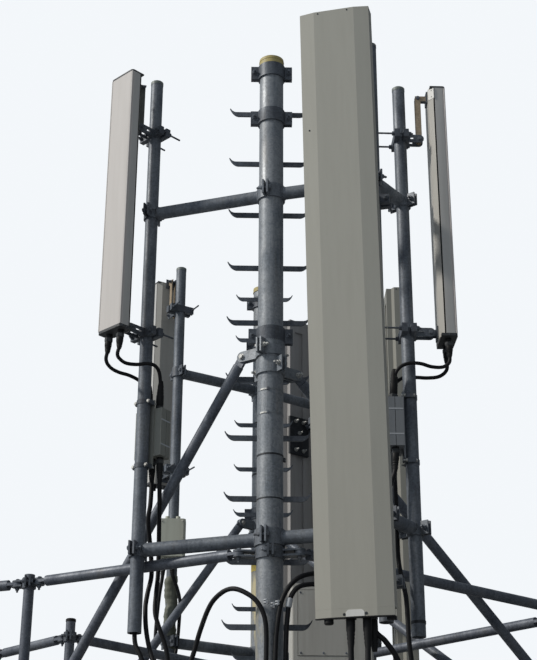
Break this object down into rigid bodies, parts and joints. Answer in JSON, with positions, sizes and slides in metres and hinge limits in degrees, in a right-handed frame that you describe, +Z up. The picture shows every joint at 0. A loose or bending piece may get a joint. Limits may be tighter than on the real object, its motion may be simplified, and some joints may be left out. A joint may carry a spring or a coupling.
{
  "type": "rooftop cell tower",
  "caption": "Rooftop cell site of braced tube masts with ladders, panel antennas on clamped pipes, amplifiers and a cabinet.",
  "frame": {"origin": "centre of the near mast's base plate, on its underside", "axes": "+Z up along the near mast, +Y from the near mast to the far mast, +X to the right of a viewer who looks along +Y"},
  "size_m": [3.769, 3.5643, 3.5802],
  "materials": {
    "galvanised_tube": "hot-dip galvanised, weathered, with streaky spangle",
    "galvanised_bar": "hot-dip galvanised flat bar, weathered dark",
    "galvanised_collar": "hot-dip galvanised plate, dull",
    "clamp_steel": "dark galvanised clamps, dull",
    "mast_cap": "dull mustard plastic",
    "radome": "weathered glass-fibre radome, matt",
    "panel_radome": "weathered radome, matt, with faint streaks",
    "amplifier_case": "powder-coated casting, matt",
    "cabinet_paint": "powder coat, matt, dusty",
    "cable_sheath": "black polyethylene sheath, satin",
    "bright_zinc": "bright zinc-plated bolts, nuts and bands"
  },
  "bodies": {
    "root": {"near_mast": "galvanised_tube", "far_mast": "galvanised_tube", "mast_caps": "mast_cap", "near_ladder": "galvanised_bar", "far_ladder": "galvanised_bar", "near_rungs": "galvanised_bar", "far_rungs": "galvanised_bar", "ladder_clamps": "clamp_steel", "near_upper_arms": "galvanised_tube", "near_lower_arms": "galvanised_tube", "far_upper_arms": "galvanised_tube", "far_lower_arms": "galvanised_tube", "near_links": "galvanised_tube", "far_links": "galvanised_tube", "pipe_clamps": "clamp_steel", "near_left_pipe": "galvanised_tube", "near_panel_pipe": "galvanised_tube", "near_right_pipe": "galvanised_tube", "far_left_pipe": "galvanised_tube", "far_panel_pipe": "galvanised_tube", "far_right_pipe": "galvanised_tube", "near_left_antenna": "radome", "near_panel_antenna": "panel_radome", "near_right_antenna": "radome", "far_left_antenna": "radome", "far_panel_antenna": "panel_radome", "far_right_antenna": "panel_radome", "near_left_brackets": "clamp_steel", "near_panel_brackets": "clamp_steel", "near_right_brackets": "clamp_steel", "far_left_brackets": "clamp_steel", "far_panel_brackets": "clamp_steel", "far_right_brackets": "clamp_steel", "near_amplifiers": "amplifier_case", "far_amplifiers": "amplifier_case", "brace_collars": "galvanised_collar", "near_braces": "galvanised_tube", "far_braces": "galvanised_tube", "brace_feet": "galvanised_collar", "rail_collars": "clamp_steel", "near_rails": "galvanised_tube", "far_rails": "galvanised_tube", "outer_rails": "galvanised_tube", "rail_posts": "galvanised_tube", "cabinet_plinth": "clamp_steel", "cabinet_body": "cabinet_paint", "cabinet_cover": "cabinet_paint", "jumper_cables": "cable_sheath", "panel_feeders": "cable_sheath", "mast_feeders": "cable_sheath", "side_feeders": "cable_sheath"}
  },
  "joints": []
}
